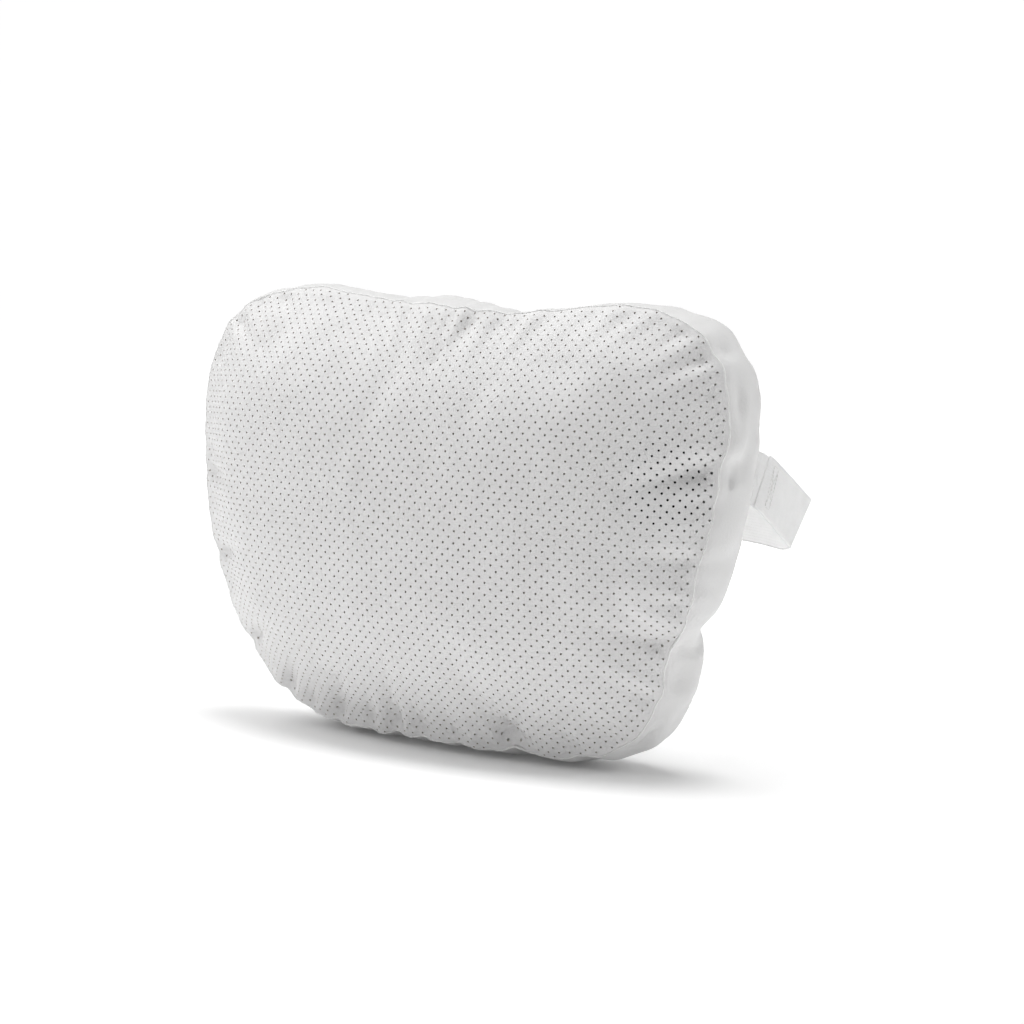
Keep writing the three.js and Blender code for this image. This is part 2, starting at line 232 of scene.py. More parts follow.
def back_point(theta, rho):
    x, z = plan(theta, rho * seam_radius(theta) + lump(theta, BACK_LUMP) * rho**5)
    y = SEAM_Y + back_height(rho) + BACK_LEAN * corner_lean(theta) * rho**6
    return np.stack([x, y, z], axis=-1)


def gusset_point(theta, v):
    front = -SEAM_Y + corner_lean(theta)
    back = SEAM_Y + BACK_LEAN * corner_lean(theta)
    y = front + (back - front) * (v + 1) / 2
    forward, back_share = unit(0.5 - v / 2), unit(0.5 + v / 2)
    off = lump(theta, FRONT_LUMP) * forward + lump(theta, BACK_LUMP) * back_share
    off = off + side_bulge(theta, v) - seam_notch(theta) * forward**2
    x, z = plan(theta, seam_radius(theta) + off)
    return np.stack([x, y, floor_rest(z)], axis=-1)


def floor_rest(z):
    """Where the gusset would go below the floor it lies flat on it."""
    return np.maximum(z, 0.05 * MM)


def normals_of(point, a, b, outward):
    """Unit normals of a surface point(a, b), by differences, turned to the side of outward."""
    step = 1e-4
    da = point(a + step, b) - point(a - step, b)
    db = point(a, np.clip(b + step, None, 1)) - point(a, np.clip(b - step, -1, None))
    normal = np.cross(da, db)
    length = np.linalg.norm(normal, axis=-1, keepdims=True)
    normal = np.where(length > 1e-14, normal / np.maximum(length, 1e-14), outward)
    flip = np.sum(normal * outward, axis=-1, keepdims=True) < 0
    return np.where(flip, -normal, normal)


# ---- meshes

def new_mesh(name, points, faces, materials, uvs=None, face_materials=None):
    mesh = bpy.data.meshes.new(name)
    mesh.from_pydata(np.asarray(points).tolist(), [], faces)
    for material in materials:
        mesh.materials.append(material)
    if face_materials is not None:
        mesh.polygons.foreach_set("material_index", np.asarray(face_materials, np.int32))
    mesh.polygons.foreach_set("use_smooth", np.ones(len(mesh.polygons), bool))
    if uvs is not None:
        loops = np.zeros(len(mesh.loops), np.int32)
        mesh.loops.foreach_get("vertex_index", loops)
        layer = mesh.uv_layers.new(name="UVMap")
        layer.data.foreach_set("uv", np.asarray(uvs, np.float32)[loops].ravel())
    mesh.validate()
    mesh.update()
    return placed(name, mesh)


def placed(name, data):
    """A new object in the scene that holds data."""
    piece = bpy.data.objects.new(name, data)
    bpy.context.scene.collection.objects.link(piece)
    return piece


def stands_for(piece, body, slot, *nodes):
    """Ties a piece to its body and hides the CAD nodes that it replaces; slot is not used."""
    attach(piece, body)
    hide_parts(*nodes)


def round_turn(count):
    """Even angles once round the centre, without the last, which would repeat the first."""
    return np.linspace(-math.pi, math.pi, count + 1)[:-1]


def grid_faces(columns, rows, closed=False):
    """Quads between columns of rows points each; closed joins the last column to the first."""
    faces = []
    for i in range(columns if closed else columns - 1):
        j = (i + 1) % columns
        for k in range(rows - 1):
            faces.append((i * rows + k, j * rows + k, j * rows + k + 1, i * rows + k + 1))
    return faces


def loop_mesh(name, loops, material, closed=False):
    """A mesh from columns of points, where closed joins the last column to the first."""
    faces = grid_faces(*loops.shape[:2], closed=closed)
    return new_mesh(name, loops.reshape(-1, 3), faces, [material])


# ---- the camera

CAMERA_AT = Vector((0.689, -1.108, 0.2494))
CAMERA_RIGHT = Vector((0.8561, 0.5144, 0.0494))
CAMERA_FORWARD = Vector((-0.509, 0.8559, -0.0909))


def add_camera():
    data = bpy.data.cameras.new("camera")
    data.sensor_width = 36
    data.lens = 84.375
    data.clip_end = 50
    camera = placed("camera", data)
    forward = CAMERA_FORWARD.normalized()
    right = (CAMERA_RIGHT - CAMERA_RIGHT.dot(forward) * forward).normalized()
    up = right.cross(forward)
    turn = Matrix((right, up, -forward)).transposed()
    camera.matrix_world = Matrix.Translation(CAMERA_AT) @ turn.to_4x4()
    bpy.context.scene.camera = camera


add_camera()


# ---- materials

class Nodes:
    """A short way to build one material's node tree."""

    def __init__(self, name, roughness, base=(0.8, 0.8, 0.8, 1)):
        self.material = bpy.data.materials.new(name)
        self.material.use_nodes = True
        self.tree = self.material.node_tree
        self.shader = self.tree.nodes["Principled BSDF"]
        self.constant("Roughness", roughness)
        self.constant("Base Color", base)
        self.place = self.add("ShaderNodeTexCoord").outputs["Object"]

    def add(self, kind, **settings):
        node = self.tree.nodes.new(kind)
        for key, value in settings.items():
            setattr(node, key, value)
        return node

    def link(self, source, target):
        self.tree.links.new(source, target)

    def constant(self, name, value):
        self.shader.inputs[name].default_value = value

    def drive(self, name, source):
        self.link(source, self.shader.inputs[name])

    def noise(self, scale, detail=3.0, place=None):
        node = self.add("ShaderNodeTexNoise")
        node.inputs["Scale"].default_value = scale
        node.inputs["Detail"].default_value = detail
        self.link(place or self.place, node.inputs["Vector"])
        return node.outputs["Fac"]

    def cells(self, scale, feature="F1", randomness=1.0, place=None):
        node = self.add("ShaderNodeTexVoronoi", feature=feature)
        node.inputs["Scale"].default_value = scale
        node.inputs["Randomness"].default_value = randomness
        self.link(place or self.place, node.inputs["Vector"])
        return node.outputs["Distance"]

    def scaled(self, value, low, high, to_low, to_high):
        node = self.add("ShaderNodeMapRange")
        numbers = {"From Min": low, "From Max": high, "To Min": to_low, "To Max": to_high}
        for name, number in numbers.items():
            node.inputs[name].default_value = number
        self.link(value, node.inputs["Value"])
        return node.outputs["Result"]

    def clouds(self, scale, detail, low=0, high=1):
        """Soft noise spread between two values."""
        return self.scaled(self.noise(scale, detail), 0.3, 0.7, low, high)

    def mixed(self, factor, first, second):
        node = self.add("ShaderNodeMix", data_type="RGBA")
        self.link(factor, node.inputs["Factor"])
        for colour, socket in ((first, node.inputs[6]), (second, node.inputs[7])):
            if isinstance(colour, tuple):
                socket.default_value = (*colour, 1)
            else:
                self.link(colour, socket)
        return node.outputs[2]

    def near_spot(self, x, z, radius):
        """1 within a round spot on the face, fading to 0 at its edge."""
        flat = self.add("ShaderNodeVectorMath", operation="MULTIPLY_ADD")
        flat.inputs[1].default_value = (1, 0, 1)
        flat.inputs[2].default_value = (-x, 0, -z)
        self.link(self.place, flat.inputs[0])
        return self.scaled(self.length(flat.outputs["Vector"]), 0.7 * radius, radius, 1, 0)

    def length(self, vector):
        node = self.add("ShaderNodeVectorMath", operation="LENGTH")
        self.link(vector, node.inputs[0])
        return node.outputs["Value"]

    def summed(self, first, second):
        node = self.add("ShaderNodeMath", operation="ADD")
        self.link(first, node.inputs[0])
        self.link(second, node.inputs[1])
        return node.outputs[0]

    def bumped(self, height, depth):
        node = self.add("ShaderNodeBump")
        node.inputs["Distance"].default_value = depth
        self.link(height, node.inputs["Height"])
        self.drive("Normal", node.outputs["Normal"])


def leather(name, light, dark, grain=0.00012):
    """Synthetic leather: pebbled grain, satin, with faint clouding."""
    nodes = Nodes(name, 0.5)
    clouds = nodes.clouds(38, 4)
    nodes.drive("Base Color", nodes.mixed(clouds, dark, light))
    pebble = nodes.cells(780, feature="SMOOTH_F1")
    pores = nodes.scaled(nodes.noise(2600, 2), 0.35, 0.65, 0, 0.35)
    nodes.bumped(nodes.summed(pebble, pores), grain)
    nodes.drive("Roughness", nodes.clouds(240, 3, 0.44, 0.58))
    nodes.constant("Specular IOR Level", 0.4)
    return nodes.material


FACE_LEATHER = leather("face_leather", (0.785, 0.782, 0.78), (0.755, 0.75, 0.747))
SMOOTH_LEATHER = leather("smooth_leather", (0.77, 0.768, 0.765), (0.745, 0.742, 0.738), 0.0001)

LOOSE_FOAM_AND_SHADE = (141 * MM, 156 * MM)  # where the foam has come away from the face, and the middle of the deep shade painted into the holes and the lining there, as x and z
# how far the loose foam and the painted shade reach
LOOSE_AND_SHADE_RADIUS = 29 * MM
# painted shade: the near-black colour of hole walls and lining in that spot, standing in for the
# dark hollow behind the holes
DEEP_SHADE = (0.03, 0.03, 0.032)


def hole_wall_material():
    """The cut edge of the leather inside each hole, with deep shade painted into its colour where
    the foam has come away.
    """
    nodes = Nodes("hole_wall", 0.9)
    clouds = nodes.clouds(300, 2)
    cut = nodes.mixed(clouds, (0.48, 0.44, 0.4), (0.6, 0.555, 0.51))
    # painted shade: the hole walls turn near black within the spot
    shade = nodes.near_spot(*LOOSE_FOAM_AND_SHADE, LOOSE_AND_SHADE_RADIUS)
    nodes.drive("Base Color", nodes.mixed(shade, cut, DEEP_SHADE))
    return nodes.material


HOLE_WALL = hole_wall_material()

# ---- the perforated face

PITCH = 0.00625  # between holes along a row; the next row is half a pitch lower and to the side
HOLE_RADIUS = 0.00057
HOLE_DEPTH = 0.0009
LOOSE_FLAT = (150 * MM, 33 * MM)  # LOOSE_FOAM_AND_SHADE on the flat panel, from its centre
STRETCH = 0.2  # how much wider the holes are there
PANEL_REACH = 0.2  # more than the flat panel's half width
EDGE_MARGIN = 0.991  # share of the flat radius past which no hole is punched
ARC_ANGLES, ARC_STEPS = 360, 260


def arc_tables():
    """For each angle, the flat radius at the seam, and rho at even steps of flat radius."""
    angles = np.linspace(-math.pi, math.pi, ARC_ANGLES + 1)
    rho = 1 - (1 - np.linspace(0, 1, 900)) ** 2.2
    points = face_point(angles[:, None], rho[None, :])
    steps = np.linalg.norm(np.diff(points, axis=1), axis=-1)
    length = np.concatenate([np.zeros((len(angles), 1)), np.cumsum(steps, axis=1)], axis=1)
    total = length[:, -1]
    even = np.linspace(0, 1, ARC_STEPS + 1)
    table = np.array([np.interp(even * total[i], length[i], rho) for i in range(len(angles))])
    return angles, total, table


ARC_ANGLE, ARC_TOTAL, ARC_RHO = arc_tables()


def flat_limit(theta):
    return np.interp(theta, ARC_ANGLE, ARC_TOTAL)


def between(values, a, b):
    """A grid's value at a place between its points, counted in rows and columns of points."""
    i = np.clip(np.floor(a).astype(int), 0, values.shape[0] - 2)
    k = np.clip(np.floor(b).astype(int), 0, values.shape[1] - 2)
    fa, fb = unit(a - i), unit(b - k)
    near = values[i, k] * (1 - fb) + values[i, k + 1] * fb
    far = values[i + 1, k] * (1 - fb) + values[i + 1, k + 1] * fb
    return near * (1 - fa) + far * fa


def part_turn(theta):
    """An angle as a share of the whole turn from -pi."""
    return (np.asarray(theta) + math.pi) / (2 * math.pi)


def rho_of_flat(theta, share):
    """rho at a share of the flat radius."""
    return between(ARC_RHO, part_turn(theta) * ARC_ANGLES, unit(share) * ARC_STEPS)


def perforated_sheet():
    """The flat panel as diamonds, each with an eight-sided hole.

    Returns the points as flat, theta and share of the radius, how deep each is sunk, the faces,
    and each face's kind: 0 for the sheet and 1 for a hole's wall.
    """
    span = int(PANEL_REACH / (PITCH / 2)) + 1
    i, j = np.meshgrid(np.arange(-span, span + 1), np.arange(-span, span + 1), indexing="ij")
    inside = (i + j) % 2 == 0
    centres = np.stack([i[inside], j[inside]], axis=-1) * 2
    ring = np.array([(2, 0), (1, 1), (0, 2), (-1, 1), (-2, 0), (-1, -1), (0, -2), (1, -1)])
    corners = centres[:, None, :] + ring[None, :, :]

    def share(flat):
        theta = np.arctan2(flat[..., 1], flat[..., 0])
        return theta, np.hypot(flat[..., 0], flat[..., 1]) / flat_limit(theta)

    _, corner_share = share(corners * PITCH / 4)
    keep = (corner_share < 1).any(axis=1)
    centres, corners = centres[keep], corners[keep]
    _, centre_share = share(centres * PITCH / 4)
    punched = centre_share < EDGE_MARGIN

    grid, index = np.unique(corners.reshape(-1, 2), axis=0, return_inverse=True)
    outer = index.reshape(-1, 8)
    turn = np.arange(8) * math.pi / 4
    circle = np.stack([np.cos(turn), np.sin(turn)], axis=-1)
    centres = centres[punched] * PITCH / 4
    from_loose = np.linalg.norm(centres - LOOSE_FLAT, axis=1)
    radius = HOLE_RADIUS * (1 + STRETCH * unit(2 - 2 * from_loose / LOOSE_AND_SHADE_RADIUS))
    holes = centres[:, None, :] + circle * radius[:, None, None]
    flat = np.concatenate([grid * PITCH / 4, holes.reshape(-1, 2), holes.reshape(-1, 2)])
    sunk = np.zeros(len(flat))
    sunk[len(grid) + holes.shape[0] * 8:] = HOLE_DEPTH

    first = len(grid) + np.arange(holes.shape[0] * 8).reshape(-1, 8)
    below = first + holes.shape[0] * 8
    whole = outer[~punched]
    outer = outer[punched]
    after = np.roll(np.arange(8), -1)
    sheet = np.stack([outer, outer[:, after], first[:, after], first], axis=-1).reshape(-1, 4)
    wall = np.stack([first, first[:, after], below[:, after], below], axis=-1).reshape(-1, 4)
    faces = sheet.tolist() + whole.tolist() + wall.tolist()
    kinds = [0] * (len(sheet) + len(whole)) + [1] * len(wall)
    theta, part = share(flat)
    return flat, theta, np.minimum(part, 1), sunk, faces, kinds


def add_face():
    flat, theta, part, sunk, faces, kinds = perforated_sheet()
    points, normal = face_shape(theta, rho_of_flat(theta, part))
    points -= normal * sunk[:, None]
    piece = new_mesh("perforated_face", points, faces, [FACE_LEATHER, HOLE_WALL], flat, kinds)
    sharpen_between_materials(piece)
    return piece


def sharpen_between_materials(piece):
    """Marks the edges where a mesh changes material as sharp, so that hole edges stay crisp."""
    mesh = piece.data
    kinds = {}
    for polygon in mesh.polygons:
        for key in polygon.edge_keys:
            kinds.setdefault(key, set()).add(polygon.material_index)
    for edge in mesh.edges:
        key = tuple(sorted(edge.vertices))
        edge.use_edge_sharp = len(kinds.get(key, ())) > 1


OUT_FRONT = np.array([0.0, -1.0, 0.0])
OUT_BACK = np.array([0.0, 1.0, 0.0])


def out_front(theta):
    return np.broadcast_to(OUT_FRONT, theta.shape + (3,))


def out_back(theta):
    return np.broadcast_to(OUT_BACK, theta.shape + (3,))


def out_side(theta):
    return np.stack([np.cos(theta), 0 * theta, np.sin(theta)], axis=-1)


# ---- the filled skin, by cloth simulation

VOXEL = 0.0045
MOST_SWELL = 0.007
SWELL_LIMITS = (-5 * MM, 8 * MM)
LAST_FRAME = 20
FIELD_ANGLES, FIELD_ROWS = 300, 56
FIELD_BLUR = 10  # passes that calm the small wrinkles


def closed_points(slack):
    """The whole pillow as columns of points from the front pole round the side to the back pole."""
    theta = round_turn(180)[:, None]
    rho = 1 - (1 - np.linspace(0.03, 1, 16))[None, :] ** 1.6
    front, back = face_point(theta, rho), back_point(theta, rho[:, ::-1])
    side = gusset_point(theta, np.linspace(-0.9, 0.9, 9)[None, :])
    loops = np.concatenate([front, side, back], axis=1)
    loops[..., 1] *= 1 - slack
    return loops


def remeshed(points):
    """The closed form as an even mesh of small quads."""
    columns, rows = points.shape[:2]
    faces = grid_faces(columns, rows, closed=True)
    faces.append([i * rows for i in range(columns)])
    faces.append([i * rows + rows - 1 for i in range(columns)][::-1])
    piece = new_mesh("skin", points.reshape(-1, 3), faces, [])
    voxels = piece.modifiers.new("voxels", "REMESH")
    voxels.mode = "VOXEL"
    voxels.voxel_size = VOXEL
    return replace_with_evaluated(piece)


def replace_with_evaluated(piece):
    depsgraph = bpy.context.evaluated_depsgraph_get()
    mesh = bpy.data.meshes.new_from_object(piece.evaluated_get(depsgraph))
    piece.modifiers.clear()
    piece.data = mesh
    return piece


def seam_lines():
    theta = np.linspace(-math.pi, math.pi, 500)
    return np.concatenate([gusset_point(theta, -np.ones(500)), gusset_point(theta, np.ones(500))])


def pin_weights(points):
    """1 where the skin is held: at both seams, round the zip and where it rests on the floor."""
    seams = seam_lines()
    seam = np.array([np.min(np.sum((seams - p) ** 2, axis=1)) for p in points]) ** 0.5
    held_by_seam = unit((9 * MM - seam) / (5 * MM))
    on_back = points[:, 1] > 25 * MM
    off_zip = np.maximum(np.abs(points[:, 2] - JOIN_Z) - 10 * MM, np.abs(points[:, 0]) - 106 * MM)
    held_by_zip = np.where(on_back, unit(1 - off_zip / (12 * MM)), 0)
    on_floor = unit(1 - (points[:, 2] - 2 * MM) / (4 * MM))
    return np.maximum(np.maximum(held_by_seam, held_by_zip), on_floor)


def inflate(piece):
    """Blows the skin up as cloth between its seams, and keeps the result."""
    rest = mesh_points(piece.data)
    group = piece.vertex_groups.new(name="held")
    for index, weight in enumerate(pin_weights(rest)):
        if weight > 0:
            group.add([index], float(weight), "REPLACE")
    cloth = piece.modifiers.new("cloth", "CLOTH")
    settings = cloth.settings
    settings.quality = 4
    settings.mass = 0.25
    settings.tension_stiffness = 12
    settings.compression_stiffness = 12
    settings.shear_stiffness = 4
    settings.bending_stiffness = 0.25
    settings.use_pressure = True
    settings.uniform_pressure_force = 4
    settings.shrink_min = -0.02
    settings.vertex_group_mass = "held"
    settings.effector_weights.gravity = 0
    scene = bpy.context.scene
    for number in range(1, LAST_FRAME + 1):
        scene.frame_set(number)
    replace_with_evaluated(piece)
    scene.frame_set(1)
    moved = mesh_points(piece.data) - rest
    far = np.linalg.norm(moved, axis=1, keepdims=True)
    capped = rest + moved * np.minimum(1, MOST_SWELL / np.maximum(far, 1e-9))
    piece.data.vertices.foreach_set("co", capped.ravel())
    return piece


def smooth_skin(piece):
    soften = piece.modifiers.new("soften", "SMOOTH")
    soften.factor, soften.iterations = 0.5, 3
    finer = piece.modifiers.new("finer", "SUBSURF")
    finer.levels = 1
    return replace_with_evaluated(piece)


def swell_field(tree, point, outward, low):
    """How far the simulated skin stands out from point(theta, b), on a grid of theta and b."""
    angles = np.linspace(-math.pi, math.pi, FIELD_ANGLES + 1)
    rows = np.linspace(low, 1, FIELD_ROWS)
    theta, b = np.meshgrid(angles, rows, indexing="ij")
    points = point(theta, b)
    normal = normals_of(point, theta, b, outward(theta))
    reach = 14 * MM
    field = np.zeros(theta.shape)
    for index in np.ndindex(theta.shape):
        n = Vector(normal[index])
        hit = tree.ray_cast(Vector(points[index]) + n * reach, -n, 2 * reach)
        field[index] = reach - hit[3] if hit[3] is not None else 0
    for _ in range(FIELD_BLUR):
        field[-1] = field[0]
        around = (np.roll(field[:-1], 1, axis=0) + np.roll(field[:-1], -1, axis=0)) / 2
        field[:-1] = (field[:-1] + around) / 2
    field[-1] = field[0]
    return np.clip(field, *SWELL_LIMITS), low


def sampled(field, theta, b):
    """A field's value at any theta and b, between the points of its grid."""
    values, low = field
    row = (np.asarray(b) - low) / (1 - low) * (FIELD_ROWS - 1)
    return between(values, part_turn(theta) * FIELD_ANGLES, row)


def simulated_fields():
    skin = remeshed(closed_points(slack=0.06))
    smooth_skin(inflate(skin))
    points = mesh_points(skin.data)
    tree = BVHTree.FromPolygons(points.tolist(), [tuple(p.vertices) for p in skin.data.polygons])
    bpy.data.objects.remove(skin)
    return (
        swell_field(tree, face_point, out_front, 0.0),
        swell_field(tree, back_point, out_back, 0.0),
        swell_field(tree, gusset_point, out_side, -1.0),
    )


FACE_SWELL, BACK_SWELL, GUSSET_SWELL = simulated_fields()

# ---- puckers, folds and creases

def gathers(theta, inward, pinches):
    """The depth of the gathers at inward metres from the seam, measured along the flat panel."""
    depth = np.zeros(np.broadcast(theta, inward).shape)
    radius = seam_radius(theta)
    for x, z, width, deep, length in pinches:
        off = np.abs(turn_apart(theta, pinch_angle(x, z))) * radius
        spread = width * MM * (1 + inward / (length * MM))
        along = np.exp(-((inward / (length * MM)) ** 1.6)) * unit(0.35 + inward / (9 * MM))
        depth += deep * MM * along / (1 + (off / spread) ** 2) ** 1.5
    near_seam = np.exp(-((inward / (22 * MM)) ** 1.5)) * unit(inward / (5 * MM))
    return depth - 0.8 * ripples(theta) * near_seam


def relief(swell, pinches, theta, rho, inward):
    """Swelling less gathers, both fading to nothing at the seam."""
    seam_fade = unit(inward / (10 * MM)) ** 0.7
    gathered = gathers(theta, inward, pinches) * unit(inward / (4 * MM))
    return sampled(swell, theta, rho) * seam_fade - gathered


def face_shape(theta, rho):
    points = face_point(theta, rho)
    normal = normals_of(face_point, theta, rho, OUT_FRONT)
    inward = (1 - rho) * flat_limit(theta)
    off = relief(FACE_SWELL, FRONT_PINCHES, theta, rho, inward) - face_creases(points)
    return points + normal * off[..., None], normal


# Dents in the face: two ends as x and z, half width and depth.
CREASES = [
    ((12, 232), (2, 212), 6, 1.2), ((-132, 236), (-120, 214), 5, 1.6),
    ((150, 164), (120, 150), 9, 1.8), ((140, 76), (118, 92), 7, 1.6),
    ((51, 12), (60, 36), 8, 2.4), ((-60, 12), (-52, 34), 8, 1.6),
]


def face_creases(points):
    depth = np.zeros(points.shape[:-1])
    spot = points[..., (0, 2)]
    for start, end, width, deep in CREASES:
        a, b = np.array(start) * MM, np.array(end) * MM
        along = unit(((spot - a) @ (b - a)) / np.dot(b - a, b - a))
        off = np.linalg.norm(spot - (a + along[..., None] * (b - a)), axis=-1)
        depth += deep * MM / (1 + (off / (width * MM)) ** 2) ** 2
    return depth


def back_shape(theta, rho):
    points = back_point(theta, rho)
    normal = normals_of(back_point, theta, rho, OUT_BACK)
    inward = (1 - rho) * seam_radius(theta) * 1.15
    off = relief(BACK_SWELL, BACK_PINCHES, theta, rho, inward)
    above, beside = np.abs(points[..., 2] - JOIN_Z), np.abs(points[..., 0])
    keep_zip = np.maximum(above - 9 * MM, beside - 104 * MM)
    off = off * unit(keep_zip / (14 * MM))
    return points + normal * off[..., None], normal


JOIN_X = 0.143  # half the pillow's width at the join
JOIN_ANGLE = math.atan2(JOIN_Z - CENTRE_Z, JOIN_X)
JOIN_DEPTH, JOIN_WIDTH = 3 * MM, 5 * MM  # of the valley that each join makes in the gusset
GATHER_SHARE = 0.55  # how much of a seam's gathers shows in the gusset
WAVE_HEIGHT = 0.5 * MM

# Soft dents in the gusset: degrees, place across it, half length round the seam, half width, depth.
GUSSET_DENTS = [
    (16, -0.1, 16, 0.3, 2.6), (12, -0.7, 7, 0.25, 4.5), (24, -0.7, 9, 0.25, 4.0),
    (33, -0.6, 7, 0.4, 2.4), (-2, 0.3, 12, 0.4, 1.6), (-27, -0.5, 8, 0.5, 3.4),
    (-36, 0.2, 8, 0.4, 2.0), (-41, -0.65, 9, 0.25, 4.5), (48, -0.2, 9, 0.6, 1.4),
    (70, 0, 14, 0.6, 1.5), (112, 0, 14, 0.5, 1.2), (146, -0.2, 9, 0.5, 1.6),
    (166, 0.1, 14, 0.4, 2.0), (-170, 0.2, 12, 0.4, 1.6), (-152, 0, 9, 0.5, 2.0),
    (-134, 0, 8, 0.5, 1.8),
]


def gusset_dents(theta, v, radius):
    depth = np.zeros(np.broadcast(theta, v).shape)
    for degrees, place, length, width, deep in GUSSET_DENTS:
        along = turn_apart(theta, math.radians(degrees)) * radius / (length * MM)
        depth = depth + deep * MM * np.exp(-(along**2) - ((v - place) / width) ** 2)
    return depth


def gusset_shape(theta, v):
    points = gusset_point(theta, v)
    normal = normals_of(gusset_point, theta, v, out_side(theta))
    across = 1 - np.abs(v) ** 3
    radius = seam_radius(theta)
    off = sampled(GUSSET_SWELL, theta, v) * across
    from_joins = [np.abs(turn_apart(theta, angle)) for angle in (JOIN_ANGLE, math.pi - JOIN_ANGLE)]
    off = off - JOIN_DEPTH * across / (1 + (np.minimum(*from_joins) * radius / JOIN_WIDTH) ** 2)
    off = off - gusset_dents(theta, v, radius) * across
    inward = 6 * MM + 0 * v
    front = gathers(theta, inward, FRONT_PINCHES) * unit(-v + 0.25)
    back = gathers(theta, inward, BACK_PINCHES) * unit(v + 0.25)
    off = off - GATHER_SHARE * (front + back) * across
    wave = np.sin(31 * theta + 2.5 * v) * np.sin(17 * theta + 1.3 - 1.5 * v)
    off = off + WAVE_HEIGHT * wave * across
    points = points + normal * off[..., None]
    points[..., 2] = floor_rest(points[..., 2])
    return points, normal


# ---- the face, its lining and the gusset

def finish_padded(piece, slot, *nodes, fill=0.85):
    stands_for(piece, "pillow", slot, *nodes)


finish_padded(add_face(), "perforated_leather", "face_panel")


def eased(count, power=1.8):
    return 1 - (1 - np.linspace(0, 1, count)) ** power


def foam_lining(near=1.1 * MM, far=2.6 * MM, columns=220):
    """A thin closed sheet between two depths below the face, from its pole nearly to its rim."""
    rows = np.concatenate([[0.004], eased(46)[1:] * 0.955])
    theta, rho = np.meshgrid(round_turn(columns), rows, indexing="ij")
    points, normal = face_shape(theta, rho)
    from_loose = np.hypot(points[..., :1] - LOOSE_FOAM_AND_SHADE[0], points[..., 2:] - LOOSE_FOAM_AND_SHADE[1])
    sag = 2.4 * MM * bump(from_loose, 0, 17 * MM)
    outside = points - normal * (near + sag)
    inside = (points - normal * (far + sag))[:, ::-1]
    loops = np.concatenate([outside, inside, outside[:, :1]], axis=1)
    return loop_mesh("foam_lining", loops, FOAM, closed=True)


def foam_material():
    """Open-celled foam, grey-brown with dust-coloured clouds, and with deep shade painted into it
    where the foam has come away.
    """
    nodes = Nodes("lining_foam", 0.95)
    clouds = nodes.clouds(120, 3)
    foam = nodes.mixed(clouds, (0.34, 0.305, 0.275), (0.42, 0.38, 0.345))
    # painted shade: the foam turns near black within the spot
    shade = nodes.near_spot(*LOOSE_FOAM_AND_SHADE, LOOSE_AND_SHADE_RADIUS)
    nodes.drive("Base Color", nodes.mixed(shade, foam, DEEP_SHADE))
    nodes.bumped(nodes.cells(1500), 0.0004)
    return nodes.material


FOAM = foam_material()
finish_padded(foam_lining(), "lining_foam", "face_lining", fill=0.3)


TUCK = 2.5 * MM  # how far the gusset's long edges turn in


def gusset_strip(name, start, stop, columns):
    """A length of the gusset between two angles, with its long edges turned in at the seams."""
    theta = np.linspace(start, stop, columns)[:, None]
    v = np.sin(np.linspace(-math.pi / 2, math.pi / 2, 34))[None, :]
    angle = turn_apart(theta, 0) + 0 * v
    points, normal = gusset_shape(angle, v + 0 * theta)
    tucked = points - normal * TUCK
    loops = np.concatenate([tucked[:, :1], points, tucked[:, -1:]], axis=1)
    return loop_mesh(name, loops, SMOOTH_LEATHER)


upper_gusset = gusset_strip("smooth_gusset_upper", JOIN_ANGLE, math.pi - JOIN_ANGLE, 520)
finish_padded(upper_gusset, "smooth_leather", "gusset_upper")
lower_end = 2 * math.pi + JOIN_ANGLE
lower_gusset = gusset_strip("smooth_gusset_lower", math.pi - JOIN_ANGLE, lower_end, 360)
finish_padded(lower_gusset, "smooth_leather", "gusset_lower")

# ---- the back

SLOT_HALF_LENGTH, SLOT_HALF_WIDTH = 101 * MM, 3.6 * MM
CLOSED_GAP = 0.15 * MM  # between the panels' edges and the join, where there is no zip
HEM_DIP, HEM_WIDTH, HEM_TURN = 1.6 * MM, 2.6 * MM, 1.3 * MM


def slot_edge(x):
    """How far a back panel's edge is from the join: wide along the zip, closed beyond it."""
    open_part = unit((SLOT_HALF_LENGTH - np.abs(x)) / (3 * MM))
    return CLOSED_GAP + (SLOT_HALF_WIDTH - CLOSED_GAP) * open_part**2 * (3 - 2 * open_part)


def back_panel(name, side, columns=300, rows=70):
    """Side 1 is the panel above the zip, -1 the one below it."""
    first = side * math.pi - JOIN_ANGLE
    t = np.linspace(0, 1, columns)
    theta = turn_apart(first + (JOIN_ANGLE - first) * t, 0)
    top_x, top_z = plan(theta, seam_radius(theta))
    edge_x = -abs(top_x[0]) + 2 * abs(top_x[0]) * t
    edge_z = JOIN_Z + side * slot_edge(edge_x)
    v = eased(rows, 1.9)[None, :]
    x = edge_x[:, None] * (1 - v) + top_x[:, None] * v
    z = edge_z[:, None] * (1 - v) + top_z[:, None] * v
    angle = np.arctan2(z - CENTRE_Z, x)
    rho = unit(np.hypot(x, z - CENTRE_Z) / seam_radius(angle))
    points, _ = back_shape(angle, rho)
    closed = unit((np.abs(x) - SLOT_HALF_LENGTH) / (6 * MM))
    points[..., 1] -= HEM_DIP * bump(z, JOIN_Z, HEM_WIDTH) * closed
    hem_row = points[:, :1] - np.array([0, HEM_TURN, 0])
    return loop_mesh(name, np.concatenate([hem_row, points], axis=1), SMOOTH_LEATHER)


finish_padded(back_panel("smooth_back_upper", 1), "smooth_leather", "back_panel_upper", fill=0.7)
finish_padded(back_panel("smooth_back_lower", -1), "smooth_leather", "back_panel_lower", fill=0.7)

# ---- what is inside the cover

